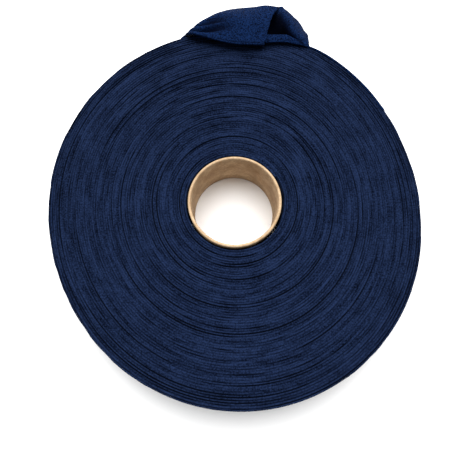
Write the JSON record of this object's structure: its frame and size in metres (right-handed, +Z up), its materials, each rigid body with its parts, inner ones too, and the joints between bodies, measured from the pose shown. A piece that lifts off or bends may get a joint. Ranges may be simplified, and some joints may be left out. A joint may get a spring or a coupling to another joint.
{
  "type": "roll of velvet ribbon",
  "caption": "Flat roll of dark blue velvet ribbon on a cardboard core, with its loose end folded back over the rim.",
  "frame": {"origin": "centre of the footprint, on the surface that the roll lies on", "axes": "+Z up out of the near face of the roll, +Y from the roll's middle to its loose end"},
  "size_m": [0.1626, 0.1858, 0.0299],
  "materials": {
    "cardboard_core": "matt brown cardboard with a slightly torn edge",
    "wound_velvet": "matt navy velvet seen on its selvedges",
    "velvet_face": "soft navy velvet with a faint sheen"
  },
  "bodies": {
    "root": {"core_tube": "cardboard_core", "wound_roll": "wound_velvet", "loose_end": "velvet_face"}
  },
  "joints": []
}
